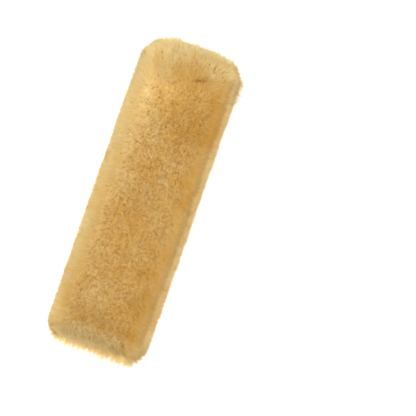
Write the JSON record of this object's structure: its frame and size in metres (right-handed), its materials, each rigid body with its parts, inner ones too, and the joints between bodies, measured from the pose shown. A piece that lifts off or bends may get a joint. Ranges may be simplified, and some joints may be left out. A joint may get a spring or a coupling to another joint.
{
  "type": "seat belt shoulder pad",
  "caption": "Sheepskin pad, folded wool-side out round a seat belt where it crosses the shoulder. A hook and loop overlap closes it behind the belt.",
  "frame": {"origin": "middle of the footprint, at the height where the back wool rests", "axes": "+X across the pad to the right as seen from the front, +Y along the belt, against the lie of the wool, +Z out of the front of the pad"},
  "size_m": [0.0903, 0.2712, 0.0387],
  "materials": {
    "wool": "matte",
    "hide": "matte",
    "lining": "satin",
    "hook_tape": "satin",
    "loop_tape": "matte",
    "thread": "satin"
  },
  "bodies": {
    "root": {"sheepskin": "wool", "lining": "lining", "hook_strip": "hook_tape", "loop_strip": "loop_tape"}
  },
  "joints": []
}
